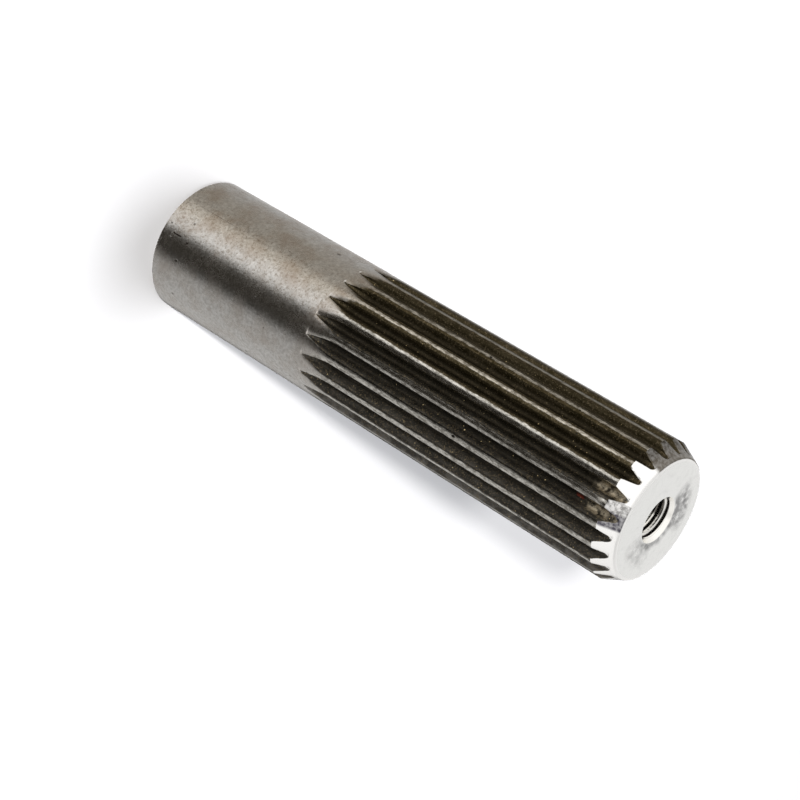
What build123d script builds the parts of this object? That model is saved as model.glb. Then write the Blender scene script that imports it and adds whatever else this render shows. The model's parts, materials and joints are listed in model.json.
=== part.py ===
"""Splined stub shaft: a ground journal at one end and a hobbed involute spline at the other.

One solid, turned from bar. It stands on the plain end of its journal: the origin is the centre
of that end and +Z runs along the shaft to the splined end, which has a tapped hole.
Tooth 0 of the spline is centred on +X.
"""
import os
from math import acos, atan2, cos, degrees, pi, radians, sin, sqrt, tan

from build123d import *

# ---- Driving dimensions, in millimetres and degrees ----

# The bar: the journal and the tips of the teeth are turned to one diameter
shaft_diameter = 34.925
shaft_length = 146.05
journal_length = 53.5  # from the plain end to the points of the run-outs
journal_edge_chamfer = 0.7

# The spline: a side-fit involute form whose flanks run into a round root
tooth_count = 21
pressure_angle = 30.0
form_depth_factor = 0.65  # the involute ends this many modules inside the pitch circle's size
hob_radius = 27.0  # the hob leaves its own arc at the end of each gap

# The lead at the splined end, which guides a hub on to the teeth
lead_length = 4.85
lead_depth = 2.45
face_edge_chamfer = 0.3

# The tapped hole in the splined end, drilled and coned before it is tapped
tap_drill_diameter = 9.35
tap_drill_depth = 30.0
drill_point_angle = 118.0
tapped_end_cone_diameter = 11.5

# The lathe centre in the plain end
centre_drill_diameter = 4.0
centre_drill_depth = 9.0
plain_end_cone_diameter = 8.5
centre_cone_angle = 60.0

# ---- Sizes that follow ----

shaft_radius = shaft_diameter / 2
module = shaft_diameter / (tooth_count + 1)
pitch_radius = module * tooth_count / 2
form_radius = module * (tooth_count - form_depth_factor) / 2
base_radius = pitch_radius * cos(radians(pressure_angle))

# Cutting tools reach this far past the surfaces they cut, and turn this much past the run-out
overcut = 1.0
overturn = 10.0


def involute(angle):
    """The involute function of a pressure angle in radians."""
    return tan(angle) - angle


def half_gap(radius):
    """Half of a gap's angular width, in radians, where a circle of this radius crosses it."""
    flank_angle = acos(base_radius / radius)
    return pi / (2 * tooth_count) - involute(radians(pressure_angle)) + involute(flank_angle)


def flank_point(radius, side):
    """Where a flank of the gap that is centred on +X crosses a circle; side is +1 or -1."""
    angle = side * half_gap(radius)
    return (radius * cos(angle), radius * sin(angle))


def root_arc():
    """The round root that is tangent to both flanks at the form circle: its centre and its radius.

    A flank's normal touches the base circle, and it meets the middle of the gap at the arc's centre.
    """
    normal_angle = half_gap(form_radius) + acos(base_radius / form_radius)
    centre = base_radius / cos(normal_angle)
    x, y = flank_point(form_radius, 1)
    return centre, sqrt((centre - x) ** 2 + y**2)


def cone_depth(mouth_diameter, bottom_diameter, included_angle):
    """How deep a cone of this included angle goes from its mouth to its smaller end."""
    return (mouth_diameter - bottom_diameter) / 2 / tan(radians(included_angle / 2))


# ---- One gap between two teeth, as the hob cuts it ----

root_arc_centre, root_arc_radius = root_arc()
root_radius = root_arc_centre - root_arc_radius

# The run-out: from the point where the hob stops, its arc rises to the bar's surface
hob_centre_height = hob_radius - (shaft_radius - root_radius)  # above the bar's surface
run_out_length = sqrt(hob_radius**2 - hob_centre_height**2)
full_gap_start = journal_length + run_out_length
run_out_angle = degrees(atan2(run_out_length, hob_centre_height))

tool_radius = shaft_radius + overcut
flank_radii = (form_radius, (form_radius + tool_radius) / 2, tool_radius)
hob_axis = Axis((root_radius + hob_radius, 0, full_gap_start), (0, -1, 0))

with BuildPart() as gap_tool:
    with BuildSketch(Plane.XY.offset(full_gap_start)) as gap_profile:
        with BuildLine():
            # An involute this short is one arc
            ThreePointArc([flank_point(radius, 1) for radius in flank_radii])
            ThreePointArc([flank_point(radius, -1) for radius in flank_radii])
            ThreePointArc(flank_point(form_radius, -1), (root_radius, 0), flank_point(form_radius, 1))
            Line(flank_point(tool_radius, -1), flank_point(tool_radius, 1))
        make_face()
    extrude(amount=shaft_length + overcut - full_gap_start)
    revolve(gap_profile.sketch, axis=hob_axis, revolution_arc=run_out_angle + overturn)

# ---- The shaft ----

tapped_cone_depth = cone_depth(tapped_end_cone_diameter, tap_drill_diameter, centre_cone_angle)
drill_point_depth = cone_depth(tap_drill_diameter, 0, drill_point_angle)
plain_cone_depth = cone_depth(plain_end_cone_diameter, centre_drill_diameter, centre_cone_angle)
centre_point_depth = cone_depth(centre_drill_diameter, 0, drill_point_angle)
hole_bottom = shaft_length - tap_drill_depth
lead_radius = shaft_radius - lead_depth

with BuildPart() as splined_shaft:
    # The turned bar with its edges broken
    with BuildSketch(Plane.XZ):
        with BuildLine():
            Polyline(
                (0, 0),
                (shaft_radius - journal_edge_chamfer, 0),
                (shaft_radius, journal_edge_chamfer),
                (shaft_radius, shaft_length - lead_length),
                (lead_radius, shaft_length),
                (0, shaft_length),
                close=True,
            )
        turned_outline = make_face()
        face_corner = turned_outline.vertices().sort_by_distance((lead_radius, 0, shaft_length))[0]
        chamfer(face_corner, length=face_edge_chamfer)
    revolve(axis=Axis.Z)

    # The teeth are what the gaps leave, so they start half a pitch from +X
    with PolarLocations(0, tooth_count, start_angle=180 / tooth_count):
        add(gap_tool.part, mode=Mode.SUBTRACT)

    # The tapped hole: 60 degree cone, tap drill and drill point
    with BuildSketch(Plane.XZ):
        with BuildLine():
            Polyline(
                (0, shaft_length),
                (tapped_end_cone_diameter / 2, shaft_length),
                (tap_drill_diameter / 2, shaft_length - tapped_cone_depth),
                (tap_drill_diameter / 2, hole_bottom),
                (0, hole_bottom - drill_point_depth),
                close=True,
            )
        make_face()
    revolve(axis=Axis.Z, mode=Mode.SUBTRACT)

    # The lathe centre that the journal was ground on
    with BuildSketch(Plane.XZ):
        with BuildLine():
            Polyline(
                (0, 0),
                (plain_end_cone_diameter / 2, 0),
                (centre_drill_diameter / 2, plain_cone_depth),
                (centre_drill_diameter / 2, centre_drill_depth),
                (0, centre_drill_depth + centre_point_depth),
                close=True,
            )
        make_face()
    revolve(axis=Axis.Z, mode=Mode.SUBTRACT)

splined_shaft.part.label = "splined_shaft"

os.makedirs("parts", exist_ok=True)
export_step(splined_shaft.part, "parts/splined_shaft.step")
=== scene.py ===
# %% [markdown]
# # A splined stub shaft
# The object is one piece of steel: a plain ground journal, a hobbed involute spline and a tapped
# hole in the splined end. The construction model comes in as a fixed frame, in metres, standing on
# the plain end with +Z along the shaft. This lesson makes the same shaft again as a finer mesh,
# with softened edges and a real thread, and gives each machined surface its own finish.

# %% Load the frame
import json
from math import acos, ceil, cos, pi, radians, sin, sqrt, tan

import bpy
from mathutils import Matrix, Quaternion, Vector


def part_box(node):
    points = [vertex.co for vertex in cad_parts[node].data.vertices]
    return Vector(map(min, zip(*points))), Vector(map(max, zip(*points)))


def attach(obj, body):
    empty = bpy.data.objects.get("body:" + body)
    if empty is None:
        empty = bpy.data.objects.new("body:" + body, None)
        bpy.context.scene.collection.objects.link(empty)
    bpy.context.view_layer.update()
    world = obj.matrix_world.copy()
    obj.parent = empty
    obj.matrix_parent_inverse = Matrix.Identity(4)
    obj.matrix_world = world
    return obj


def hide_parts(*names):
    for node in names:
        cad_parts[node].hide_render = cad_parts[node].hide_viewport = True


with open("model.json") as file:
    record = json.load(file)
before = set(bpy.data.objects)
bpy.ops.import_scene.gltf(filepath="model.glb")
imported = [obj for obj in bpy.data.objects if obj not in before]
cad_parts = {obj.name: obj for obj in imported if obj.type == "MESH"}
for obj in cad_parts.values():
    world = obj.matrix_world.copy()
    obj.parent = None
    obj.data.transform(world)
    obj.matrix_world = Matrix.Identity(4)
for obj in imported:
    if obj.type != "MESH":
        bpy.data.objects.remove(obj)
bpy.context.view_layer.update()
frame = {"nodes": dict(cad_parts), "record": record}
SHAFT_NODE = "splined_shaft"
low_corner, high_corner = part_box(SHAFT_NODE)
MM = 0.001
print("frame loaded:", sorted(frame["nodes"]), "size", [round(v, 5) for v in high_corner - low_corner])

# %% [markdown]
# ## Sizes
# The bar's radius and length come from the frame, and so do the interfaces: where the journal ends
# and how wide the tapped hole is. The rest are the sizes of the cutting tools, which the frame does
# not carry, so they are named here once, in metres.

# %% Sizes of the shaft
mounts = {mount["name"]: mount for mount in frame["record"]["mounts"]}
shaft_radius = high_corner.x
shaft_length = high_corner.z
journal = mounts["journal"]
journal_length = journal["pos_m"][2] + journal["dims"]["length_mm"] * MM / 2
tap_drill_radius = mounts["tapped_hole"]["dims"]["r_mm"] * MM

tooth_count = 21
pressure_angle = radians(30)
form_depth_factor = 0.65
hob_radius = 27 * MM
lead_length = 4.85 * MM
lead_depth = 2.45 * MM
journal_edge_chamfer = 0.7 * MM
face_edge_chamfer = 0.3 * MM

tap_drill_depth = 30 * MM
tapped_cone_radius = 5.75 * MM
centre_drill_radius = 2 * MM
centre_drill_depth = 9 * MM
plain_cone_radius = 4.25 * MM
cone_half_angle = radians(30)
drill_point_half_angle = radians(59)
print(f"shaft {2 * shaft_radius / MM:.3f} mm across and {shaft_length / MM:.2f} mm long")

# %% [markdown]
# ## The form of one gap
# A hob cuts every gap to the same form. Each flank is an involute of the base circle, and the root
# is one arc that is tangent to both flanks where the involute ends. These few radii are all that
# the form needs. The Geometry Nodes tree further down works out the curve itself at every point.

# %% Radii of the spline
module = 2 * shaft_radius / (tooth_count + 1)
pitch_radius = module * tooth_count / 2
form_radius = module * (tooth_count - form_depth_factor) / 2
base_radius = pitch_radius * cos(pressure_angle)


def involute(angle):
    """The involute function of a pressure angle in radians."""
    return tan(angle) - angle


gap_angle_at_base = pi / (2 * tooth_count) - involute(pressure_angle)
form_angle = acos(base_radius / form_radius)
form_half_gap = gap_angle_at_base + involute(form_angle)
root_arc_centre = base_radius / cos(form_half_gap + form_angle)
form_point = Vector((form_radius * cos(form_half_gap), form_radius * sin(form_half_gap)))
root_arc_radius = (form_point - Vector((root_arc_centre, 0))).length
root_radius = root_arc_centre - root_arc_radius
hob_axis_radius = root_radius + hob_radius
run_out_length = sqrt(hob_radius**2 - (hob_axis_radius - shaft_radius) ** 2)
gap_point_reach = 0.8 * MM  # the thin points of the gaps start this much before the clear journal ends
full_gap_start = journal_length - gap_point_reach + run_out_length
print(f"root radius {root_radius / MM:.3f} mm, run-out {run_out_length / MM:.2f} mm long")

# %% [markdown]
# ## The camera
# A long lens looks down on the tapped end from about 31 degrees above the horizontal. The shaft
# would roll if it lay on its side, so it stands, and the camera is turned about its own line of
# sight instead: the shaft then leans across the picture from upper left to lower right.

# %% Camera
scene = bpy.context.scene
camera_distance = 409.92 * MM
camera_height = 322.66 * MM
aim_beside_axis = 7.19 * MM
aim_height = 74.13 * MM
lens_length = 91.64
picture_lean = radians(121.63)
tooth_pitch = 2 * pi / tooth_count
# The front of the shaft is the side that this lesson looks at: 8.9 degrees from a tooth's middle
front_azimuth = -6 * tooth_pitch + radians(8.9)

turn_to_camera = Matrix.Rotation(front_azimuth, 4, "Z")
camera_place = turn_to_camera @ Vector((camera_distance, 0, camera_height))
aim_place = turn_to_camera @ Vector((0, aim_beside_axis, aim_height))
line_of_sight = aim_place - camera_place

camera = bpy.data.objects.new("camera", bpy.data.cameras.new("camera"))
scene.collection.objects.link(camera)
camera.data.lens = lens_length
camera.data.sensor_width = 36
camera.location = camera_place
upright = line_of_sight.to_track_quat("-Z", "Y")
camera.rotation_mode = "QUATERNION"
camera.rotation_quaternion = Quaternion(line_of_sight, -picture_lean) @ upright
scene.camera = camera
print(f"camera {line_of_sight.length / MM:.0f} mm from its aim, with a {lens_length} mm lens")

# %% [markdown]
# ## A small language for node sums
# A Geometry Nodes tree and a material both do their sums with Math nodes, and a long formula of
# them is hard to read. This helper wraps one output socket, so that Python's own signs add the
# nodes: `a * b + c` makes a Multiply node that feeds an Add node.


# %% Sums made of Math nodes
class Sum:
    """One number in a node tree. Python's signs on it add Math nodes."""

    def __init__(self, tree, socket):
        self.tree = tree
        self.socket = socket

    def math(self, operation, *others):
        node = self.tree.nodes.new("ShaderNodeMath")
        node.operation = operation
        for place, value in enumerate((self, *others)):
            feed(self.tree, value, node.inputs[place])
        return Sum(self.tree, node.outputs[0])

    def __add__(self, other):
        return self.math("ADD", other)

    def __sub__(self, other):
        return self.math("SUBTRACT", other)

    def __mul__(self, other):
        return self.math("MULTIPLY", other)

    def __truediv__(self, other):
        return self.math("DIVIDE", other)

    __radd__ = __add__
    __rmul__ = __mul__

    def __rsub__(self, other):
        return self * -1 + other

    def __rtruediv__(self, other):
        return self.math("POWER", -1) * other

    def square(self):
        return self * self

    def root(self):
        """The square root, with anything below zero taken as zero."""
        return self.at_least(0).math("SQRT")

    def at_least(self, other):
        return self.math("MAXIMUM", other)

    def at_most(self, other):
        return self.math("MINIMUM", other)

    def as_share(self):
        """Kept between 0 and 1."""
        return self.at_least(0).at_most(1)

    def is_under(self, other):
        """1 where this value is less than the other, and 0 elsewhere."""
        return self.math("LESS_THAN", other)


def feed(tree, value, socket):
    """Put a Sum, a socket or a plain value into an input socket."""
    if isinstance(value, Sum):
        tree.links.new(value.socket, socket)
    elif isinstance(value, bpy.types.NodeSocket):
        tree.links.new(value, socket)
    else:
        socket.default_value = value


def choose(condition, if_one, if_zero):
    """One of two sums, by a condition that is 1 or 0, or a blend of them in between."""
    return condition * if_one + (1 - condition) * if_zero


def add_node(tree, kind, settings=None, **inputs):
    """A new node with some settings, and with inputs that are given by their socket's name."""
    node = tree.nodes.new(kind)
    for setting, value in (settings or {}).items():
        setattr(node, setting, value)
    for name, value in inputs.items():
        feed(tree, value, node.inputs[name.replace("_", " ")])
    return node


# %% [markdown]
# ## Helpers that every tree shares
# A soft step turns any measure into a share from 0 to 1, a mix lets one colour give way to another
# by such a share, and a point round the axis is placed by its distance, its angle and its height.


# %% Soft steps, mixed colours and points round the axis
def soft_step(tree, value, start, end, top=1.0):
    """0 up to start and top from end on, with a soft rise between; start above end makes it fall."""
    node = add_node(
        tree, "ShaderNodeMapRange", {"interpolation_type": "SMOOTHSTEP"},
        Value=value, From_Min=start, From_Max=end, To_Max=top,
    )
    return Sum(tree, node.outputs[0])


def mixed(tree, share, colour, other):
    """A colour, or a socket, that gives way to the other by this share."""
    node = add_node(tree, "ShaderNodeMix", {"data_type": "RGBA"})
    feed(tree, share, node.inputs["Factor"])
    for value, name in ((colour, "A_Color"), (other, "B_Color")):
        socket = next(item for item in node.inputs if item.identifier == name)
        feed(tree, (*value, 1.0) if isinstance(value, tuple) else value, socket)
    return next(item for item in node.outputs if item.identifier == "Result_Color")


def point_round_axis(tree, radius, angle, height):
    """A point by its distance from the axis, its angle round it and its height."""
    x, y = radius * angle.math("COSINE"), radius * angle.math("SINE")
    return add_node(tree, "ShaderNodeCombineXYZ", X=x, Y=y, Z=height).outputs[0]


# %% [markdown]
# ## The turned outline
# A lathe makes the bar before the hob reaches it. Its outline is a chain of points (radius, height)
# from the lathe centre in the plain end, up the outside and in across the tapped end. Every point
# becomes one ring of the mesh, so the rings lie close together where the surface changes quickly:
# at the broken edges, along the run-outs and where the gaps end in the lead.

# %% Turned outline
edge_round = 0.12 * MM


def evenly(start, end, spacing):
    """Points from start to end at about this spacing, without the first."""
    start, end = Vector(start), Vector(end)
    count = max(1, ceil((end - start).length / spacing))
    return [start.lerp(end, (step + 1) / count) for step in range(count)]


def crowded(start, end, count, crowd_at_end=False, power=1.8):
    """Points from start to end that crowd towards one of them, without the first."""
    start, end = Vector(start), Vector(end)
    shares = [(step + 1) / count for step in range(count)]
    if crowd_at_end:
        return [start.lerp(end, 1 - (1 - share) ** power) for share in shares]
    return [start.lerp(end, share**power) for share in shares]


def softened(corners, spacing):
    """The chain through these corners, each inner corner cut back to a small three-point round."""
    corners = [Vector(corner) for corner in corners]
    chain = [corners[0]]
    for before, corner, after in zip(corners, corners[1:], corners[2:]):
        into = (before - corner).normalized() * edge_round
        out = (after - corner).normalized() * edge_round
        chain += evenly(chain[-1], corner + into, spacing)
        chain += [corner + (into + out) / 4, corner + out]
    return chain + evenly(chain[-1], corners[-1], spacing)


lead_radius = shaft_radius - lead_depth
lead_start = Vector((shaft_radius, shaft_length - lead_length))
face_corner = Vector((lead_radius, shaft_length))
down_the_lead = (lead_start - face_corner).normalized()
plain_cone_depth = (plain_cone_radius - centre_drill_radius) / tan(cone_half_angle)
centre_point_depth = centre_drill_radius / tan(drill_point_half_angle)
# The gaps close in the lead where its cone is as narrow as the root circle
gap_end = face_corner + down_the_lead * (root_radius - lead_radius) / down_the_lead.x

outline = softened(
    [
        (0, centre_drill_depth + centre_point_depth),
        (centre_drill_radius, centre_drill_depth),
        (centre_drill_radius, plain_cone_depth),
        (plain_cone_radius, 0),
        (shaft_radius - journal_edge_chamfer, 0),
        (shaft_radius, journal_edge_chamfer),
        (shaft_radius, full_gap_start - run_out_length),
    ],
    spacing=2.4 * MM,
)
outline += crowded(outline[-1], (shaft_radius, full_gap_start), count=30)
past_lead_start = lead_start - down_the_lead * 3 * edge_round
outline += softened([outline[-1], lead_start, past_lead_start], spacing=0.8 * MM)[1:]
outline += crowded(outline[-1], gap_end, count=14, crowd_at_end=True)
outline += softened(
    [
        gap_end,
        face_corner + down_the_lead * face_edge_chamfer,
        face_corner - Vector((face_edge_chamfer, 0)),
        (0, shaft_length),
    ],
    spacing=2.4 * MM,
)[1:]
print(f"turned outline of {len(outline)} points")


def add_mesh_object(name, vertices=(), edges=(), faces=()):
    """A new mesh object in the scene."""
    mesh = bpy.data.meshes.new(name)
    mesh.from_pydata([tuple(vertex) for vertex in vertices], edges, faces)
    made = bpy.data.objects.new(name, mesh)
    scene.collection.objects.link(made)
    return made


outline_object = add_mesh_object(
    "turned_outline",
    [(point.x, 0, point.y) for point in outline],
    edges=[(place, place + 1) for place in range(len(outline) - 1)],
)

# %% [markdown]
# ## A tree with named inputs
# Both trees of this lesson are made the same way: a group gets its named inputs, a modifier on an
# empty mesh gets their values by each socket's identifier, and the result is taken as a plain mesh.

# %% Helpers for Geometry Nodes trees
SOCKET_KINDS = {int: "NodeSocketInt", float: "NodeSocketFloat"}


def new_tree(name, values):
    """An empty Geometry Nodes group with an input for each of these values, and its sockets."""
    tree = bpy.data.node_groups.new(name, "GeometryNodeTree")
    for label, value in values.items():
        kind = SOCKET_KINDS.get(type(value)) or f"NodeSocket{type(value).__name__}"
        tree.interface.new_socket(label, in_out="INPUT", socket_type=kind)
    tree.interface.new_socket("Mesh", in_out="OUTPUT", socket_type="NodeSocketGeometry")
    entry = tree.nodes.new("NodeGroupInput")
    inputs = {
        label: Sum(tree, entry.outputs[label]) if type(value) in SOCKET_KINDS else entry.outputs[label]
        for label, value in values.items()
    }
    return tree, inputs


def end_tree(tree, geometry, material):
    """The closing nodes of every tree: real geometry, smooth, with its material."""
    smooth = add_node(tree, "GeometryNodeSetShadeSmooth", Geometry=geometry)
    real = add_node(tree, "GeometryNodeRealizeInstances", Geometry=smooth.outputs[0])
    finished = add_node(tree, "GeometryNodeSetMaterial", Geometry=real.outputs[0], Material=material)
    tree.links.new(finished.outputs[0], tree.nodes.new("NodeGroupOutput").inputs[0])


def grow(name, tree, values):
    """A mesh object whose plain mesh is the tree's result for these values."""
    grown = add_mesh_object(name)
    modifier = grown.modifiers.new(name, "NODES")
    modifier.node_group = tree
    for item in tree.interface.items_tree:
        if item.in_out == "INPUT":
            modifier[item.identifier] = values[item.name]
    evaluated = grown.evaluated_get(bpy.context.evaluated_depsgraph_get())
    plain = bpy.data.meshes.new_from_object(evaluated)
    material = plain.materials[-1]
    plain.materials.clear()
    plain.materials.append(material)
    grown.modifiers.clear()
    grown.data = plain
    print(f"{name}: {len(plain.vertices)} vertices, {len(plain.polygons)} faces")
    return grown


# %% [markdown]
# ## The hob's cut
# At full depth a gap has one outline, and it is given here as x and y for a radius: x points out
# along the middle of the gap, y across it. Where the hob stopped, it left its own arc, so the same
# outline swings up and out of the bar about the hob's axis. The further a ring lies below the start
# of the full gap, the further the outline has swung, until it leaves the bar in a point.


# %% Outline of a gap, and its swing
def gap_outline(inputs, radius):
    """x and y of the gap's flank, or of its round root, where a circle of this radius crosses it."""
    base_share = inputs["Base Radius"] / radius
    flank_angle = base_share.at_most(1).math("ARCCOSINE")
    on_flank = inputs["Gap Angle at Base"] + flank_angle.math("TANGENT") - flank_angle
    arc_centre, arc_radius = inputs["Root Arc Centre"], inputs["Root Arc Radius"]
    root_x = (radius.square() + arc_centre.square() - arc_radius.square()) / (2 * arc_centre)
    on_root = (root_x / radius).at_most(1).math("ARCCOSINE")
    half_gap = choose(radius.is_under(inputs["Form Radius"]), on_root, on_flank)
    return radius * half_gap.math("COSINE"), radius * half_gap.math("SINE")


def swung_outline(inputs, radius, distance_below):
    """The same point of the gap after its swing: its own radius, and its angle from mid-gap."""
    x, y = gap_outline(inputs, radius)
    share_of_run_out = distance_below / inputs["Run-out Length"]
    y = y * (1 - inputs["Run-out Narrowing"] * share_of_run_out.square()).at_least(0)
    hob_axis = inputs["Root Radius"] + inputs["Hob Radius"]
    x = hob_axis - ((hob_axis - x).square() - distance_below.square()).root()
    return (x.square() + y.square()).root(), y.math("ARCTAN2", x)


HALVINGS = 22  # these bring the answer within a nanometre


def gap_edge(tree, inputs, ring_radius, distance_below):
    """The radius of the gap's outline that comes to this ring's surface: found by halving."""
    start = tree.nodes.new("GeometryNodeRepeatInput")
    end = tree.nodes.new("GeometryNodeRepeatOutput")
    start.pair_with_output(end)
    for name in ("inner", "outer"):
        end.repeat_items.new("FLOAT", name)
    feed(tree, HALVINGS, start.inputs["Iterations"])
    feed(tree, inputs["Root Radius"], start.inputs["inner"])
    feed(tree, inputs["Shaft Radius"], start.inputs["outer"])
    inner, outer = Sum(tree, start.outputs["inner"]), Sum(tree, start.outputs["outer"])
    middle = (inner + outer) / 2
    reached, _ = swung_outline(inputs, middle, distance_below)
    below_surface = reached.is_under(ring_radius)
    feed(tree, choose(below_surface, middle, inner), end.inputs["inner"])
    feed(tree, choose(below_surface, outer, middle), end.inputs["outer"])
    return (Sum(tree, end.outputs["inner"]) + Sum(tree, end.outputs["outer"])) / 2


# %% [markdown]
# ## The whole shaft as one wrapped grid
# A flat grid has one row for each point of the turned outline and a fixed number of columns for each
# pitch of the spline. Every vertex works out its own place: its row gives the ring, and its column
# says whether it lies in a gap, on the rounded edge of a tooth or on the land between. Where there is
# no gap, as on the journal, the gap's columns fall on one line and are merged.
#
# Wear is made in the same tree, because it moves the same vertices. Torque in one direction has
# rolled one shoulder of every tooth over, so that side is a little wider and lower. The lands are
# crowned very slightly, small nicks along the edges come from a noise with a fixed seed, and one
# tooth end has a dent from a knock. Each vertex also keeps what the finishes will ask for: its depth
# below the bar, its nearness to an edge, its place on the land and which side of the tooth it is on.


# %% Nicks and the dent
NICK_LUMPS = 620.0  # lumps of the nicks' noise in a metre
NICK_START, NICK_FULL = 0.56, 0.76  # the noise makes a nick from the first, full depth at the second


def knocks(tree, inputs, place):
    """How deep a nick would be here, and how deep the dent is, whose floor is rough."""
    noise = add_node(
        tree, "ShaderNodeTexNoise", {"noise_dimensions": "4D"},
        Vector=place, W=inputs["Seed"], Scale=NICK_LUMPS, Detail=2.0, Roughness=0.6,
    ).outputs[0]
    nick = soft_step(tree, noise, NICK_START, NICK_FULL, inputs["Nick Depth"])
    dent_place = point_round_axis(
        tree, inputs["Shaft Radius"], inputs["Dent Angle"], inputs["Dent Height"]
    )
    from_dent = add_node(tree, "ShaderNodeVectorMath", {"operation": "DISTANCE"})
    tree.links.new(place, from_dent.inputs[0])
    tree.links.new(dent_place, from_dent.inputs[1])
    distance = from_dent.outputs["Value"]
    dent = soft_step(tree, distance, inputs["Dent Size"], 0.0, inputs["Dent Depth"])
    return nick, dent * (0.3 + Sum(tree, noise) * 1.4)


# %% Rows and columns of the grid
GAP_STEPS = 8  # columns from mid-gap to the edge of a tooth
LAND_STEPS = 4  # columns from the edge of a tooth to its middle
HALF_PITCH_STEPS = GAP_STEPS + LAND_STEPS
INDEX_NUDGE = 1e-4  # keeps a division of whole numbers from landing just under its answer


def place_on_grid(tree, rows):
    """A vertex's row, the number of its gap, its steps from mid-gap and which side of it."""
    index = Sum(tree, tree.nodes.new("GeometryNodeInputIndex").outputs[0])
    column = ((index + 0.5) / rows).math("FLOOR")
    gap = ((column / (2 * HALF_PITCH_STEPS)) + INDEX_NUDGE).math("FLOOR")
    from_middle = column - gap * (2 * HALF_PITCH_STEPS) - HALF_PITCH_STEPS
    return index - column * rows, gap, from_middle.math("ABSOLUTE"), from_middle.math("SIGN")


def rise(steps, first, last):
    """0 up to the first of these steps and 1 from the last on, in even parts between."""
    return ((steps - first) / (last - first)).as_share()


# %% Tree of the shaft
ROUNDED_SHARE = 0.3  # at most this share of a gap's reach goes into its rounded edge
EDGE_SET_BACK = 0.25  # how far the edge itself is set back, as a share of its rounding
ROLL_ON_LAND = 0.4  # how much of the rolled shoulder's drop reaches on to the land
MERGE_DISTANCE = 2e-6


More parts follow.
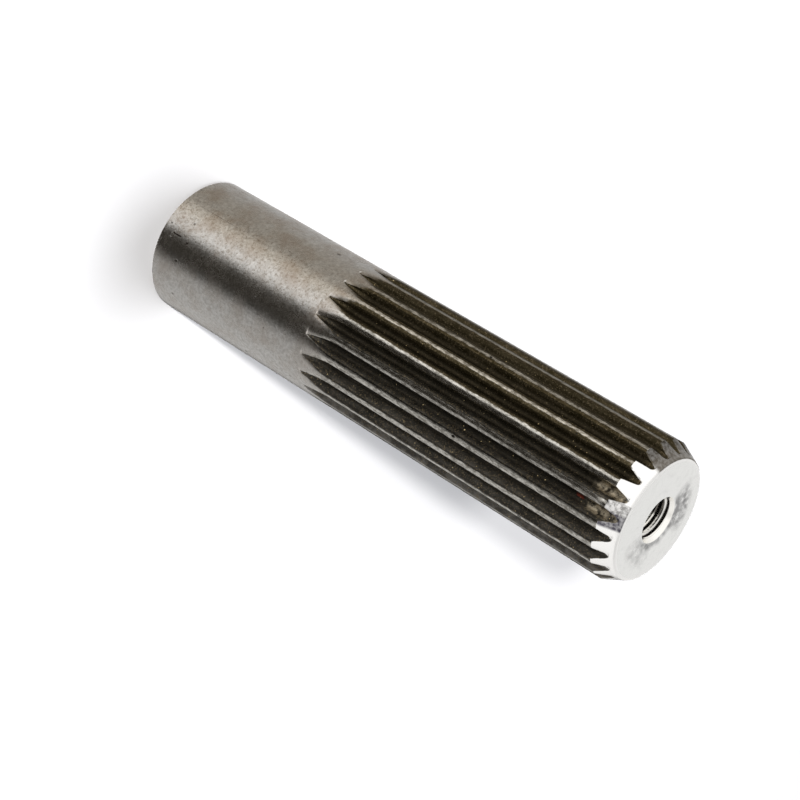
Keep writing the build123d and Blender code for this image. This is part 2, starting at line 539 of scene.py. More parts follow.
def build_shaft_tree(values):
    """The tree that wraps the grid and keeps on each vertex what the finishes ask for."""
    tree, inputs = new_tree("hobbed shaft", values)
    bar_radius, full_rounding = inputs["Shaft Radius"], inputs["Edge Round"]

    # The turned outline's points, each with the radius where the gap's outline comes to the surface
    outline_points = add_node(tree, "GeometryNodeObjectInfo", Object=inputs["Outline"])
    position = tree.nodes.new("GeometryNodeInputPosition").outputs[0]
    point = add_node(tree, "ShaderNodeSeparateXYZ", Vector=position)
    below = (inputs["Full Gap Start"] - Sum(tree, point.outputs["Z"])).at_least(0)
    edge = gap_edge(tree, inputs, Sum(tree, point.outputs["X"]), below)
    rings = add_node(
        tree, "GeometryNodeStoreNamedAttribute",
        Geometry=outline_points.outputs["Geometry"], Name="edge", Value=edge,
    ).outputs[0]

    # A flat grid with a row for each of them, and what each vertex's row says
    size = add_node(tree, "GeometryNodeAttributeDomainSize", Geometry=rings)
    rows = Sum(tree, size.outputs["Point Count"])
    columns = inputs["Teeth"] * (2 * HALF_PITCH_STEPS)
    grid = add_node(
        tree, "GeometryNodeMeshGrid",
        Size_X=1.0, Size_Y=1.0, Vertices_X=columns + 1, Vertices_Y=rows,
    )
    row, gap, steps, side = place_on_grid(tree, rows)

    def sampled(kind, value):
        node = add_node(
            tree, "GeometryNodeSampleIndex", {"data_type": kind},
            Geometry=rings, Value=value, Index=row,
        )
        return node.outputs[0]

    edge_name = add_node(tree, "GeometryNodeInputNamedAttribute", Name="edge")
    ring_edge = Sum(tree, sampled("FLOAT", edge_name.outputs["Attribute"]))
    ring = add_node(tree, "ShaderNodeSeparateXYZ", Vector=sampled("FLOAT_VECTOR", position))
    ring_radius, height = Sum(tree, ring.outputs["X"]), Sum(tree, ring.outputs["Z"])
    below = (inputs["Full Gap Start"] - height).at_least(0)

    # Columns in the gap: from its root out to the tooth's edge, with one shoulder pushed over
    gap_reach = ring_edge - inputs["Root Radius"]
    rounding = full_rounding.at_most(gap_reach * ROUNDED_SHARE)
    share = (steps / (GAP_STEPS - 1)).at_most(1)
    outline_radius = inputs["Root Radius"] + (gap_reach - rounding) * share.square()
    on_edge = (steps - GAP_STEPS).math("COMPARE", 0, 0.5)
    in_gap = steps.is_under(GAP_STEPS + 0.5)
    outline_radius = choose(on_edge, ring_edge, outline_radius)
    cut_radius, cut_angle = swung_outline(inputs, outline_radius, below)
    has_gap = (gap_reach / full_rounding).at_most(1)
    worn_side = (1 - side) / 2
    pushed = worn_side * has_gap * rise(steps, GAP_STEPS - 4, GAP_STEPS)
    cut_angle = cut_angle - pushed * inputs["Shoulder Width"] / bar_radius

    # Columns on the land: from the edge to the tooth's middle
    _, edge_angle = swung_outline(inputs, ring_edge, below)
    pitch = 2 * pi / inputs["Teeth"]
    land_start = edge_angle + rounding / bar_radius
    land_share = (steps - GAP_STEPS - 1) / (LAND_STEPS - 1)
    land_angle = land_start + (pitch / 2 - land_start) * land_share
    angle = choose(in_gap, cut_angle, land_angle) * side + (gap + 0.5) * pitch
    radius = choose(in_gap, cut_radius.at_most(ring_radius), ring_radius)

    # What wear takes off: the edge, its nicks, the crown, the rolled shoulder and the dent
    near_edge = (2 - (steps - GAP_STEPS).math("ABSOLUTE")).at_least(0) / 2
    tooth_edge = near_edge * has_gap
    land_middle = land_share.as_share()
    off_middle = (1 - land_middle).square()
    on_crown = off_middle * has_gap * (1 - in_gap + on_edge)
    nick, dent = knocks(tree, inputs, point_round_axis(tree, radius, angle, height))
    rolled = choose(in_gap, rise(steps, GAP_STEPS - 3, GAP_STEPS - 1), off_middle * ROLL_ON_LAND)
    softening = on_edge * rounding * EDGE_SET_BACK + tooth_edge * nick + on_crown * inputs["Land Crown"]
    softening = softening + rolled * worn_side * has_gap * inputs["Shoulder Drop"] + dent

    shaped = add_node(
        tree, "GeometryNodeSetPosition", Geometry=grid.outputs["Mesh"],
        Position=point_round_axis(tree, radius - softening, angle, height),
    ).outputs[0]
    # These are worked out from each vertex's number, so they are stored before the merge renumbers
    kept_values = {
        "gap_depth": ring_radius - radius,
        "tooth_edge": tooth_edge,
        "land_middle": choose(in_gap, 0.0, land_middle),
        "worn_side": worn_side,
    }
    for name, value in kept_values.items():
        store = add_node(
            tree, "GeometryNodeStoreNamedAttribute", Geometry=shaped, Name=name, Value=value
        )
        shaped = store.outputs[0]
    merged = add_node(
        tree, "GeometryNodeMergeByDistance", Geometry=shaped, Distance=MERGE_DISTANCE
    )
    end_tree(tree, merged.outputs[0], inputs["Steel"])
    return tree


# %% Grow the shaft
steel = bpy.data.materials.new("shaft_steel")
shaft_values = {
    "Outline": outline_object,
    "Teeth": tooth_count,
    "Shaft Radius": shaft_radius,
    "Root Radius": root_radius,
    "Base Radius": base_radius,
    "Form Radius": form_radius,
    "Gap Angle at Base": gap_angle_at_base,
    "Root Arc Centre": root_arc_centre,
    "Root Arc Radius": root_arc_radius,
    "Hob Radius": hob_radius,
    "Full Gap Start": full_gap_start,
    "Run-out Length": run_out_length,
    "Run-out Narrowing": 0.55,
    "Edge Round": edge_round,
    "Nick Depth": 0.16 * MM,
    "Land Crown": 0.035 * MM,
    "Shoulder Width": 0.32 * MM,
    "Shoulder Drop": 0.22 * MM,
    "Dent Angle": front_azimuth + radians(6.5),
    "Dent Height": lead_start.y - 0.6 * MM,
    "Dent Size": 1.7 * MM,
    "Dent Depth": 0.45 * MM,
    "Seed": 7.0,
    "Steel": steel,
}
shaft = grow("hobbed_shaft", build_shaft_tree(shaft_values), shaft_values)

# %% [markdown]
# ## Drilling and tapping the end
# The hole is made in the order of the real one. A drill with a 60 degree cone behind it goes in
# first, as a turned outline that is spun about the axis, and a boolean takes it away. Then a tap goes
# in: its cutting ridge is one section that follows a helix, and that is a job for Geometry Nodes,
# with a Spiral curve and Curve to Mesh. Its size is a 7/16 inch thread with 14 turns to the inch.
# Bolts have worn the upper corner of every crest to a slope, and that slope is what shines in the
# hole, so the lower side of the section opens out to cut it.

# %% Drill
INCH = 25.4 * MM
thread_pitch = INCH / 14
thread_major_radius = 7 / 16 * INCH / 2
tapped_cone_depth = (tapped_cone_radius - tap_drill_radius) / tan(cone_half_angle)
drill_point_depth = tap_drill_radius / tan(drill_point_half_angle)
past_the_face = 1 * MM


def spun(name, points, segments):
    """A closed turned mesh from points (radius, height) that start and end on the axis."""
    angles = [2 * pi * step / segments for step in range(segments)]
    rings = [[(r * cos(angle), r * sin(angle), z) for angle in angles] for r, z in points[1:-1]]
    vertices = [(0, 0, points[0][1])]
    for ring in rings:
        vertices += ring
    vertices.append((0, 0, points[-1][1]))
    last = len(vertices) - 1
    faces = []
    for step in range(segments):
        turn = (step + 1) % segments
        faces.append((0, 1 + turn, 1 + step))
        faces.append((last, last - segments + step, last - segments + turn))
        for ring in range(len(rings) - 1):
            low, high = 1 + ring * segments, 1 + (ring + 1) * segments
            faces.append((low + step, low + turn, high + turn, high + step))
    return add_mesh_object(name, vertices, faces=faces)


drill = spun(
    "drill_and_cone",
    [
        (0, shaft_length - tap_drill_depth - drill_point_depth),
        (tap_drill_radius, shaft_length - tap_drill_depth),
        (tap_drill_radius, shaft_length - tapped_cone_depth),
        (tapped_cone_radius + past_the_face * tan(cone_half_angle), shaft_length + past_the_face),
        (0, shaft_length + past_the_face),
    ],
    segments=96,
)
print(f"tap drill {2 * tap_drill_radius / MM:.2f} mm, cone {tapped_cone_depth / MM:.2f} mm deep")


# %% Tap
tapped_steel = bpy.data.materials.new("tapped_steel")
ridge_middle_radius = 5 * MM
ridge_inner_radius = 4.3 * MM
crest_radius = tap_drill_radius + 0.005 * MM
worn_radius = 5.11 * MM  # inside this the upper corner of each crest is worn to a slope
crest_left = 0.014 * MM  # what the wear has left of the flat top of each crest
root_half_width = thread_pitch / 16
flank_half_angle = radians(30)


def ridge_half_width(radius):
    """Half the height of the tap's 60 degree ridge where it is this far from the axis."""
    return root_half_width + (thread_major_radius - radius) * tan(flank_half_angle)


worn_reach = thread_pitch - crest_left - ridge_half_width(crest_radius)
section = [
    (ridge_inner_radius, ridge_half_width(crest_radius)),
    (crest_radius, ridge_half_width(crest_radius)),
    (thread_major_radius, root_half_width),
    (thread_major_radius, -root_half_width),
    (worn_radius, -ridge_half_width(worn_radius)),
    (crest_radius, -worn_reach),
    (ridge_inner_radius, -worn_reach),
]
tap_section = add_mesh_object(
    "tap_section",
    [(radius - ridge_middle_radius, height, 0) for radius, height in section],
    edges=[(place, (place + 1) % len(section)) for place in range(len(section))],
)


def build_tap_tree(values):
    """The tree of the tap's ridge, standing on its first turn at z = 0."""
    tree, inputs = new_tree("tap ridge", values)
    spiral = add_node(
        tree, "GeometryNodeCurveSpiral", Resolution=64, Rotations=inputs["Turns"],
        Start_Radius=inputs["Middle Radius"], End_Radius=inputs["Middle Radius"],
        Height=inputs["Pitch"] * inputs["Turns"], Reverse=True,
    )
    upright = add_node(tree, "GeometryNodeSetCurveNormal", {"mode": "Z_UP"}, Curve=spiral.outputs[0])
    section_points = add_node(tree, "GeometryNodeObjectInfo", Object=inputs["Section"])
    closed_section = add_node(
        tree, "GeometryNodeMeshToCurve", Mesh=section_points.outputs["Geometry"]
    )
    ridge = add_node(
        tree, "GeometryNodeCurveToMesh",
        Curve=upright.outputs[0], Profile_Curve=closed_section.outputs[0], Fill_Caps=True,
    )
    outward = add_node(tree, "GeometryNodeFlipFaces", Mesh=ridge.outputs[0])
    end_tree(tree, outward.outputs[0], inputs["Steel"])
    return tree


groove_depth_far_side = 1.57 * MM  # below the face, on the side away from the front
turns_in_the_hole = 13
turns_past_the_face = 1.5
tap_values = {
    "Section": tap_section,
    "Turns": turns_in_the_hole + turns_past_the_face,
    "Pitch": thread_pitch,
    "Middle Radius": ridge_middle_radius,
    "Steel": tapped_steel,
}
tap = grow("tap_ridge", build_tap_tree(tap_values), tap_values)
tap.data.transform(
    Matrix.Translation((0, 0, shaft_length - groove_depth_far_side - turns_in_the_hole * thread_pitch))
    @ Matrix.Rotation(front_azimuth + pi, 4, "Z")
)
drill.data.materials.append(tapped_steel)

# %% Cut the hole
for cutter in (drill, tap):
    cut = shaft.modifiers.new(cutter.name, "BOOLEAN")
    cut.operation = "DIFFERENCE"
    cut.solver = "MANIFOLD"
    cut.material_mode = "TRANSFER"
    cut.object = cutter
drilled = shaft.evaluated_get(bpy.context.evaluated_depsgraph_get())
cut_mesh = bpy.data.meshes.new_from_object(drilled)
shaft.modifiers.clear()
shaft.data = cut_mesh
for helper in (drill, tap, tap_section, outline_object):
    bpy.data.objects.remove(helper)
crisp_angle = radians(28)
cut_mesh.set_sharp_from_angle(angle=crisp_angle)
material_names = [material.name for material in cut_mesh.materials]
print(f"drilled and tapped: {len(cut_mesh.polygons)} faces, materials {material_names}")

# %% [markdown]
# ## Where a material finds itself
# Every finish here is worked out from the place on the shaft: its height, its distance from the axis
# and its angle, all from Object coordinates, and how far it lies below the turned bar, from the
# attribute that the tree kept. A small helper gives these to each material, with the noises and
# soft steps that all the finishes use.


# %% Helpers for the finishes
class Finish:
    """One material's node tree, with the places and patterns that finishes are made of."""

    def __init__(self, material):
        material.use_nodes = True
        self.tree = material.node_tree
        self.shader = self.tree.nodes["Principled BSDF"]
        self.shader.inputs["Metallic"].default_value = 1.0
        self.place = self.tree.nodes.new("ShaderNodeTexCoord").outputs["Object"]
        axes = add_node(self.tree, "ShaderNodeSeparateXYZ", Vector=self.place)
        self.x, self.y, self.height = (Sum(self.tree, axes.outputs[name]) for name in "XYZ")
        self.radius = (self.x.square() + self.y.square()).root()

    def attribute(self, name):
        node = add_node(self.tree, "ShaderNodeAttribute", {"attribute_name": name})
        return Sum(self.tree, node.outputs["Fac"])

    def ramp(self, value, start, end):
        """The soft step from 0 to 1 in this material's tree."""
        return soft_step(self.tree, value, start, end)

    def stretched(self, x, y, z):
        """The place scaled along each axis, which stretches a pattern the other way."""
        node = add_node(self.tree, "ShaderNodeMapping", Vector=self.place)
        node.inputs["Scale"].default_value = (x, y, z)
        return node.outputs[0]

    def noise(self, grain, detail=3.0, roughness=0.55, vector=None, shift=0.0):
        """A noise whose lumps are about this size in millimetres."""
        node = add_node(
            self.tree, "ShaderNodeTexNoise", {"noise_dimensions": "4D"},
            Vector=vector or self.place, W=shift, Scale=1 / (grain * MM),
            Detail=detail, Roughness=roughness,
        )
        return Sum(self.tree, node.outputs["Fac"])

    def specks(self, spacing, size, share, vector=None):
        """Round specks, 1 at their middle, of up to this size. This share of the cells holds one."""
        node = add_node(
            self.tree, "ShaderNodeTexVoronoi", Vector=vector or self.place, Scale=1 / (spacing * MM)
        )
        pick = add_node(self.tree, "ShaderNodeSeparateColor", Color=node.outputs["Color"])
        is_there = Sum(self.tree, pick.outputs[0]).is_under(share)
        grown_size = (Sum(self.tree, pick.outputs[1]) * 0.7 + 0.3) * size
        inside = self.ramp(Sum(self.tree, node.outputs["Distance"]) / grown_size, 1.0, 0.5)
        return is_there * inside

    def mix(self, share, colour, other):
        """The mix of two colours in this material's tree."""
        return mixed(self.tree, share, colour, other)

    def on_heights(self, start, end, fade):
        """1 on this span of the shaft's height, with a soft edge of this width inside each end."""
        risen = self.ramp(self.height, start, start + fade)
        return risen * self.ramp(self.height, end, end - fade)

    def beside(self, degrees, width, fade):
        """1 within this many degrees of an azimuth on the shaft, counted from its front."""
        middle = front_azimuth + radians(degrees)
        along = self.x * cos(middle) + self.y * sin(middle)
        across = self.y * cos(middle) - self.x * sin(middle)
        off_middle = across.math("ARCTAN2", along).math("ABSOLUTE")
        return self.ramp(off_middle, radians(width + fade), radians(width))

    def finish(self, colour, roughness, height):
        """Feed the shader: its colour, its roughness and a bump from a height in metres."""
        feed(self.tree, colour, self.shader.inputs["Base Color"])
        feed(self.tree, roughness, self.shader.inputs["Roughness"])
        bump = add_node(self.tree, "ShaderNodeBump", Height=height)
        bump.inputs["Distance"].default_value = 1.0
        self.tree.links.new(bump.outputs[0], self.shader.inputs["Normal"])


# %% [markdown]
# ## Ground journal
# The journal was turned and then ground between centres, so it carries very fine lines round it. In
# store it picked up brown blotches, a few dark pits, two dabs of tar and a scratch along it. Fine dark
# specks lie thinly all round, and on the front side they are painted much denser, as painted
# reflections of the dark part of the room in tiny pits. All of it is noise and specks on the steel's
# own colour: none of it is thick enough to be a mesh.


# %% Journal finish
GROUND_DULL, GROUND_BRIGHT = (0.52, 0.51, 0.49), (0.76, 0.75, 0.73)
SPECKS_AND_DARK_REFLECTIONS, BROWN_CLOUD, BROWN_SPOT = (0.30, 0.27, 0.235), (0.38, 0.295, 0.225), (0.24, 0.17, 0.12)
TAR = (0.075, 0.056, 0.044)


def ground_journal(finish):
    """Colour, roughness and height of the ground bar with its stains and pits."""
    upper_side = finish.beside(-62, 34, 40)
    # Painted reflection: the dark specks are thin all round, as real pits, and much denser on the front
    # side, standing for pits that reflect the dark part of the room.
    dark_reflection_side = finish.beside(-13, 14, 14)
    mottle = finish.noise(0.85, detail=3.0, roughness=0.75)
    frost = finish.ramp(finish.noise(0.60, detail=2.0, roughness=0.7, shift=2.0), 0.50, 0.64)
    cloud = finish.ramp(finish.noise(7.0, detail=5.0, roughness=0.6), 0.36, 0.72)
    spots = finish.ramp(finish.noise(2.2, detail=4.0, roughness=0.65, shift=4.0), 0.60, 0.72)
    pits = finish.specks(2.6, 0.24, 0.30, vector=finish.stretched(1, 1, 0.75))
    bare = finish.mix(finish.ramp(mottle, 0.3, 0.7), GROUND_DULL, GROUND_BRIGHT)
    specked = finish.mix(frost * (dark_reflection_side * 0.55 + 0.15), bare, SPECKS_AND_DARK_REFLECTIONS)
    clouded = finish.mix(cloud * (upper_side * 0.30 + 0.35), specked, BROWN_CLOUD)
    stained = finish.mix(spots * (upper_side * 0.25 + 0.30), clouded, BROWN_SPOT)
    broken_line = finish.ramp(finish.noise(1.3, shift=6.0), 0.38, 0.55)
    scratch = finish.beside(-27.3, 0.05, 0.28) * broken_line
    scratch = scratch * finish.on_heights(3 * MM, 31 * MM, 5 * MM)
    lower_dab = finish.beside(3.2, 0.35, 0.5) * finish.on_heights(3.8 * MM, 7.0 * MM, 0.5 * MM)
    upper_dab = finish.beside(5.2, 0.5, 0.6) * finish.on_heights(8.8 * MM, 9.9 * MM, 0.4 * MM)
    marks = (pits * 0.75).at_least(scratch * 0.8).at_least(lower_dab.at_least(upper_dab))
    colour = finish.mix(marks, stained, TAR)
    lines = finish.noise(0.12, detail=2.0, vector=finish.stretched(0.03, 0.03, 1.0))
    roughness = 0.20 + mottle * 0.08 + cloud * 0.06
    height = lines * 0.9e-6 + mottle * 30e-6 - pits * 40e-6 - scratch * 10e-6
    return colour, roughness, height


# %% [markdown]
# ## Teeth
# The lands between the gaps are the same bar, but handled and oily: a rubbed crest with grime on
# both sides of it. The worn shoulders are rubbed too, except on the upper side, where they are
# painted dark as painted shade. On the lower side the film is painted lighter in streaks, as a
# painted reflection of a pale surface. The gaps hold old oil and fine chips, so they are almost black
# with a brown cast, darker towards the root, and here and there a chip glints. The depth that the
# tree kept tells land from gap, and a fine noise makes the border between them ragged.


# %% Grime, with a painted sheen below
UPPER_THIN, UPPER_THICK = (0.088, 0.072, 0.042), (0.040, 0.032, 0.015)
THIN_OIL, THICK_OIL = (0.090, 0.084, 0.074), (0.036, 0.034, 0.029)
LOWER_SHEEN, GRIT = (0.27, 0.262, 0.245), (0.23, 0.185, 0.12)


def grimy(finish):
    """The colour of old oil, browner on the upper side, with a painted reflection on the lower side,
    and where grit is.
    """
    film = finish.noise(1.6, detail=5.0, roughness=0.7, vector=finish.stretched(1, 1, 0.5))
    grit = finish.ramp(finish.noise(0.36, detail=2.0, roughness=0.65, shift=1.0), 0.53, 0.66)
    upper_side = finish.beside(-62, 40, 34)
    thin = finish.mix(upper_side, THIN_OIL, UPPER_THIN)
    thick = finish.mix(upper_side, THICK_OIL, UPPER_THICK)
    film_colour = finish.mix(finish.ramp(film, 0.34, 0.70), thick, thin)
    # Painted reflection: the film is painted lighter in streaks on the lower side, standing for a pale
    # surface reflected there.
    lower_sheen = finish.beside(78, 12, 8) * (0.25 + finish.ramp(film, 0.42, 0.60) * 0.6)
    film_colour = finish.mix(lower_sheen, film_colour, LOWER_SHEEN)
    return finish.mix(grit * 0.7, film_colour, GRIT), grit


# %% Lands and gaps
RUBBED_DULL, RUBBED_BRIGHT, LAND_STAIN = (0.28, 0.265, 0.235), (0.82, 0.80, 0.75), (0.22, 0.195, 0.15)
NICK, ROOT_DARK, BRASSY_CHIP = (0.03, 0.027, 0.022), (0.020, 0.017, 0.012), (0.70, 0.56, 0.31)
PACKED_CHIPS, RED_PAINT = (0.56, 0.49, 0.37), (0.28, 0.05, 0.03)


def worn_land(finish, land_middle, worn_except_shaded_side, grime_colour):
    """Colour, roughness and height of the lands: a rubbed crest between two bands of grime."""
    along, closer = finish.stretched(1, 1, 0.3), finish.stretched(1, 1, 0.4)
    streaks = finish.noise(0.8, detail=4.0, roughness=0.65, vector=along) - 0.5
    fine = finish.noise(0.5, detail=3.0, roughness=0.7, shift=3.0, vector=closer) - 0.5
    # The worn shoulders are rubbed bright, except on the upper side, where they keep the dark grime
    # colour as painted shade.
    crest = finish.ramp(land_middle.at_least(worn_except_shaded_side) + streaks * 0.8 + fine * 0.5, 0.30, 0.74)
    sparkle = finish.ramp(fine + streaks * 0.8, -0.17, 0.18)
    rubbed = finish.mix(sparkle, RUBBED_DULL, RUBBED_BRIGHT)
    dull = finish.mix(finish.beside(-80, 26, 14) * 0.6, rubbed, LAND_STAIN)
    colour = finish.mix(crest, grime_colour, dull)
    nicks = finish.specks(1.6, 0.30, 0.14, vector=finish.stretched(1, 1, 0.6))
    colour = finish.mix(nicks, colour, NICK)
    return colour, 0.36 - crest * 0.12, fine * 30e-6 - nicks * 40e-6


def oily_gap(finish, gap_depth, grime_colour):
    """Colour and roughness of the gaps, with the chips that glint in the oil."""
    # Darker towards the root of each gap.
    in_root = finish.ramp(gap_depth, 1.1 * MM, 1.75 * MM)
    colour = finish.mix(in_root * 0.7, grime_colour, ROOT_DARK)
    chips = finish.specks(0.80, 0.26, 0.34) * finish.ramp(finish.noise(0.9, shift=5.0), 0.36, 0.64)
    colour = finish.mix(chips, colour, BRASSY_CHIP)
    # Pale chips packed into two gaps by the lead, with a spot of red paint
    front = finish.ramp(finish.height, shaft_length - 11 * MM, shaft_length - 8 * MM)
    packed = front * finish.ramp(finish.noise(1.3, detail=4.0, shift=9.0), 0.36, 0.60)
    in_two_gaps = finish.beside(-0.3, 3.2, 1.2).at_least(finish.beside(16.8, 3.6, 1.2))
    colour = finish.mix(packed * in_two_gaps * 0.85, colour, PACKED_CHIPS)
    red_span = finish.on_heights(shaft_length - 13 * MM, shaft_length - 10.4 * MM, 0.8 * MM)
    red = finish.beside(15.0, 1.2, 0.6) * red_span
    return finish.mix(red * 0.8, colour, RED_PAINT), 0.50 - chips * 0.1


# %% [markdown]
# ## Faced end and lead
# The lead and the end face were turned last, after the hob, so they are the brightest steel on the
# shaft. The lathe tool left very fine rings. Handling left grey smudges beside the hole. The broken
# edge round the face is painted light, a painted highlight where it would show a dark reflection. On
# the lead one side is painted dark as painted shade, and one tooth end is bruised, with a blued patch
# beside it.


# %% Faced end finish
FACED, SMUDGE, FRESH_CUT_AND_RIM_HIGHLIGHT = (0.84, 0.85, 0.845), (0.20, 0.20, 0.205), (0.95, 0.95, 0.945)


def faced_end(finish):
    """Colour, roughness and height of the lead and the end face, with a painted highlight on its broken
    edge.
    """
    streaks = finish.noise(1.8, detail=5.0, roughness=0.7, shift=2.0)
    wide = finish.ramp(finish.radius, 12.6 * MM, 10 * MM)
    wide = wide * finish.ramp(finish.radius, 5.6 * MM, 6.6 * MM)
    rim = finish.ramp(finish.radius, 8.4 * MM, 6.4 * MM)
    handled = wide * finish.beside(-143, 20, 26) + rim * finish.beside(160, 62, 30) * 0.8
    faint = wide * finish.beside(85, 14, 30) * 0.45
    smudge = ((handled + faint) * finish.ramp(streaks, 0.30, 0.60)).at_most(1) * 0.85
    smudge = smudge + finish.ramp(streaks, 0.46, 0.8) * 0.14
    colour = finish.mix(smudge, FACED, SMUDGE)
    rings = finish.radius.math("MULTIPLY", 2 * pi / (0.22 * MM)).math("SINE")
    # Painted highlight: the broken edge of the face is painted light, where it would show a dark
    # reflection of the room.
    rim_highlight = finish.ramp(finish.height, shaft_length - 0.50 * MM, shaft_length - 0.35 * MM)
    rim_highlight = rim_highlight * finish.ramp(finish.radius, lead_radius - 0.65 * MM, lead_radius - 0.45 * MM)
    on_cone = finish.ramp(finish.radius, lead_radius - 0.2 * MM, lead_radius)
    for part in (rim_highlight, on_cone):
        colour = finish.mix(part, colour, FRESH_CUT_AND_RIM_HIGHLIGHT)
    return colour, 0.25 + smudge * 0.12 + rim_highlight * 0.3, rings * 0.25e-6 + streaks * 6e-6


# %% Marks on the lead
LEAD_SHADE, LEAD_SHADE_THIN = (0.036, 0.030, 0.022), (0.15, 0.135, 0.115)
BRUISE, BLUED = (0.17, 0.165, 0.16), (0.055, 0.050, 0.072)


def stained_lead(finish, colour):
    """The lead's marks: painted shade on the upper side, and two tooth ends, one bruised, one blued."""
    ragged = finish.noise(0.8, detail=4.0, roughness=0.6, shift=5.0) - 0.5
    rough_patches = finish.ramp(ragged, -0.14, 0.14)
    towards_face = finish.ramp(finish.radius, shaft_radius, lead_radius)
    # Painted shade: the lead's upper side is painted dark, darker away from the face, in place of a
    # dark reflection of the room.
    grime = finish.mix(towards_face, LEAD_SHADE, LEAD_SHADE_THIN)
    shaded_upper_lead = finish.beside(-74, 36, 5) * (0.86 + rough_patches * 0.14)
    colour = finish.mix(shaded_upper_lead, colour, grime)
    bruised = finish.beside(8.5, 4.8, 1.6) * (0.30 + rough_patches * 0.70)
    colour = finish.mix(bruised * 0.85, colour, BRUISE)
    blued = finish.beside(19.2, 5.2, 2.4) * (0.66 + rough_patches * 0.34)
    return finish.mix(blued * 0.97, colour, BLUED)


# %% [markdown]
# ## Dressing the shaft
# One material covers the shaft, so it has to choose a finish at every point. The run-outs are where
# the ground bar gives way to oily teeth, so that border is ragged and follows the height. The kept
# depth picks out the gaps, with oil smeared a little way over their edges, and the lead and the face
# begin at a height of their own. The shader gets one colour, one roughness and one fine bump.


# %% Put the finishes on
def dress_shaft(material):
    finish = Finish(material)
    gap_depth = finish.attribute("gap_depth")
    tooth_edge = finish.attribute("tooth_edge")
    land_middle = finish.attribute("land_middle")
    # Painted shade: on the upper side the worn shoulders are left dark, where their shape would catch
    # the bright room.
    worn_except_shaded_side = finish.attribute("worn_side") * (1 - finish.beside(-62, 42, 10))
    journal_colour, journal_roughness, journal_height = ground_journal(finish)
    grime_colour, grit = grimy(finish)
    land_colour, land_roughness, land_height = worn_land(finish, land_middle, worn_except_shaded_side, grime_colour)
    gap_colour, gap_roughness = oily_gap(finish, gap_depth, grime_colour)
    end_colour, end_roughness, end_height = faced_end(finish)

    ragged = (finish.noise(1.2, detail=4.0, shift=8.0) - 0.5) * 5 * MM
    narrowing = (1 - land_middle) * 6 * MM
    ragged_height = finish.height + ragged + narrowing
    in_spline = finish.ramp(ragged_height, full_gap_start - 5 * MM, full_gap_start + 3 * MM)
    smear = finish.noise(0.5, detail=3.0, vector=finish.stretched(1, 1, 0.4)) * 0.20 * MM
    in_gap = finish.ramp(gap_depth + tooth_edge * smear - worn_except_shaded_side * 0.3 * MM, 0.05 * MM, 0.15 * MM)
    past_lead = finish.ramp(finish.height, lead_start.y - 0.02 * MM, lead_start.y + 0.05 * MM)
    on_lead = past_lead * (1 - in_gap)
    on_face = finish.ramp(finish.height, shaft_length - 0.2 * MM, shaft_length - 0.1 * MM)

    colour = finish.mix(in_spline, journal_colour, land_colour)
    lead_colour = finish.mix(on_face, stained_lead(finish, end_colour), end_colour)
    colour = finish.mix(on_lead, colour, lead_colour)
    colour = finish.mix(in_gap, colour, gap_colour)
    roughness = choose(in_spline, land_roughness, journal_roughness)
    roughness = choose(on_lead, end_roughness, roughness)
    roughness = choose(in_gap, gap_roughness, roughness)
    height = choose(in_spline, land_height, journal_height)
    height = choose(in_gap, grit * 14e-6, height)
    finish.finish(colour, roughness, choose(on_lead, end_height, height))


dress_shaft(steel)
print(f"{steel.name}: {len(steel.node_tree.nodes)} nodes")

# %% [markdown]
# ## Tapped thread
# The worn crests and the cone are bright. The rest is painted shade in the steel's colour: dark in
# the grooves, darker with depth down the hole, and dark on the deeper turns of one side of the hole. It
# also clings to the
# deeper turns on one side of the hole, as it does when a part lies on its side for long.


# %% Thread finish
BRIGHT_THREAD, THREAD_SHADE = (0.92, 0.91, 0.88), (0.07, 0.06, 0.05)


def dress_thread(material):
    finish = Finish(material)
    depth = shaft_length - finish.height
    dirt = finish.noise(0.7, detail=4.0)
    # Painted shade: the grooves are painted dark, where the roots of the thread lie in shadow.
    groove_shade = finish.ramp(finish.radius, worn_radius - 0.02 * MM, worn_radius + 0.08 * MM)
    groove_shade = groove_shade * finish.ramp(depth, 0.9 * MM, 1.2 * MM)
    # Painted shade: the deeper turns on one side of the hole are painted dark.
    shaded_side = finish.beside(-122, 42, 14) * finish.ramp(depth, 2.2 * MM, 3.4 * MM)
    # Painted shade: darker with depth down the hole.
    shade = (finish.ramp(depth, 5 * MM, 18 * MM) * (0.4 + dirt)).at_least(groove_shade * 0.86)
    shade = shade.at_least(shaded_side * 0.85)
    colour = finish.mix(shade, BRIGHT_THREAD, THREAD_SHADE)
    finish.finish(colour, 0.14 + dirt * 0.14, dirt * 10e-6)


dress_thread(tapped_steel)
print(f"{tapped_steel.name}: {len(tapped_steel.node_tree.nodes)} nodes")

# %% [markdown]
# ## Floor and studio
# The lamps light the plain pale floor and give it its shadows. Two keys stand close to the camera's
# own direction, so their shadows fall behind the shaft and show as a narrow band beside it. A larger
# lamp, almost overhead, gives the soft shadow in front of the foot, and its cooler light keeps the
# shadows a little blue. They stand far off, so that the floor is evenly lit. Bright steel shows the
# room more than itself, so the steel gets its light from a world whose brightness changes with the
# direction, as soft boxes and dark cloths round a table would make it. The world does not light the
# floor and the lamps do not show in the steel, so each can be set without the other. The floor is
# left out of reflections too: the low part of the room stands for it.

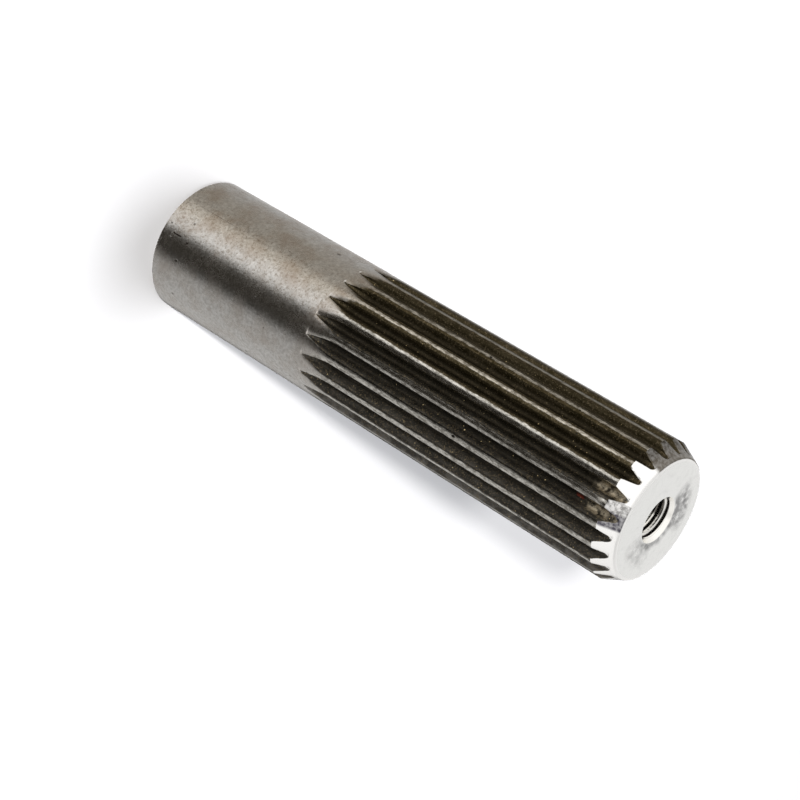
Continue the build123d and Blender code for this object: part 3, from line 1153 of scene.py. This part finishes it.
# %% Floor
reach = 3.0
floor_corners = [(-reach, -reach, 0), (reach, -reach, 0), (reach, reach, 0), (-reach, reach, 0)]
floor = add_mesh_object("floor", floor_corners, faces=[(0, 1, 2, 3)])
floor.location.z = -0.02 * MM
floor.visible_glossy = False
pale = bpy.data.materials.new("pale_floor")
pale.use_nodes = True
pale_shader = pale.node_tree.nodes["Principled BSDF"]
pale_shader.inputs["Base Color"].default_value = (0.40, 0.40, 0.41, 1)
pale_shader.inputs["Roughness"].default_value = 0.9
pale_shader.inputs["Specular IOR Level"].default_value = 0.0
floor.data.materials.append(pale)
scene.view_settings.view_transform = "Standard"


# %% Lamps
WARM_LAMP, COOL_LAMP = (1.0, 0.985, 0.96), (0.975, 0.985, 1.003)


def soft_lamp(name, azimuth, elevation, distance, size, power, tint=WARM_LAMP):
    """A round lamp that shines at the shaft's foot; the azimuth is counted from the front."""
    light = bpy.data.lights.new(name, "AREA")
    light.shape = "DISK"
    light.size = size
    light.energy = power
    light.color = tint
    lamp = bpy.data.objects.new(name, light)
    lamp.visible_glossy = False
    scene.collection.objects.link(lamp)
    turn, up = front_azimuth + radians(azimuth), radians(elevation)
    lamp.location = Vector((cos(turn) * cos(up), sin(turn) * cos(up), sin(up))) * distance
    lamp.rotation_mode = "QUATERNION"
    lamp.rotation_quaternion = (-lamp.location).to_track_quat("-Z", "Y")
    print(f"{name}: {power} W, {distance} m off")


soft_lamp("key", azimuth=-4.4, elevation=27.5, distance=9.0, size=0.34, power=1530)
soft_lamp("second key", azimuth=-5.2, elevation=38, distance=9.0, size=0.7, power=810)
soft_lamp("back", azimuth=-160, elevation=83, distance=6.0, size=1.2, power=465, tint=COOL_LAMP)

# %% Studio
world = bpy.data.worlds.new("studio")
scene.world = world
world.use_nodes = True
studio = world.node_tree
DUSK, WARM, EVEN = (1.0, 0.84, 0.62), (1.0, 0.92, 0.80), (1.0, 0.985, 0.965)
low_room = (  # azimuth from the front in degrees, brightness, tint
    (-180, 0.95, EVEN), (-162, 0.70, EVEN), (-146, 0.50, EVEN), (-84, 0.38, WARM), (-62, 0.37, WARM),
    (-42, 0.80, WARM), (-18, 1.05, EVEN), (-8, 1.0, EVEN), (5, 0.035, DUSK), (44, 0.025, DUSK),
    (62, 0.46, EVEN), (120, 0.56, EVEN), (149, 0.56, EVEN), (163, 0.14, EVEN), (180, 0.08, EVEN),
)
high_room = (
    (-180, 0.9, EVEN), (-150, 0.9, EVEN), (-60, 1.15, EVEN), (10, 1.15, EVEN), (60, 1.0, EVEN),
    (130, 0.9, EVEN),
)
upper_room = (
    (-180, 0.85, EVEN), (-140, 0.8, EVEN), (-105, 0.35, EVEN), (-75, 1.1, EVEN), (20, 1.1, EVEN),
    (60, 0.6, EVEN), (105, 0.35, EVEN), (140, 0.85, EVEN),
)
ceiling = (0.8, 0.79, 0.78)


def room_ramp(stops, turn):
    """A colour ramp round the room from stops of (azimuth, brightness, tint)."""
    node = add_node(studio, "ShaderNodeValToRGB", Fac=turn)
    ramp = node.color_ramp
    ramp.interpolation = "EASE"
    while len(ramp.elements) < len(stops):
        ramp.elements.new(0.5)
    for element, (azimuth, brightness, tint) in zip(ramp.elements, stops):
        element.position = (azimuth + 180) / 360
        element.color = (*(brightness * channel for channel in tint), 1)
    return node.outputs["Color"]


direction = add_node(studio, "ShaderNodeTexCoord").outputs["Generated"]
axes = add_node(studio, "ShaderNodeSeparateXYZ", Vector=direction)
north, east, up = (Sum(studio, axes.outputs[name]) for name in "XYZ")
turn = ((east.math("ARCTAN2", north) - front_azimuth) / (2 * pi) + 1.5).math("FRACT")


# Each part of the room gives way to the next where the direction points this share of straight up
room = room_ramp(low_room, turn)
for start, end, next_part in (
    (-0.30, -0.02, room_ramp(high_room, turn)),
    (0.45, 0.60, room_ramp(upper_room, turn)),
    (0.86, 0.95, ceiling),
):
    room = mixed(studio, soft_step(studio, up, start, end), room, next_part)
background = studio.nodes["Background"]
feed(studio, room, background.inputs["Color"])
background.inputs["Strength"].default_value = 1.0
world.cycles_visibility.diffuse = False
print(f"{world.name}: {len(studio.nodes)} nodes")

# %% [markdown]
# ## Hand over
# The finished shaft stands for the construction model's node and rides on its body.

# %% Hand over
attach(shaft, "root")
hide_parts(SHAFT_NODE)
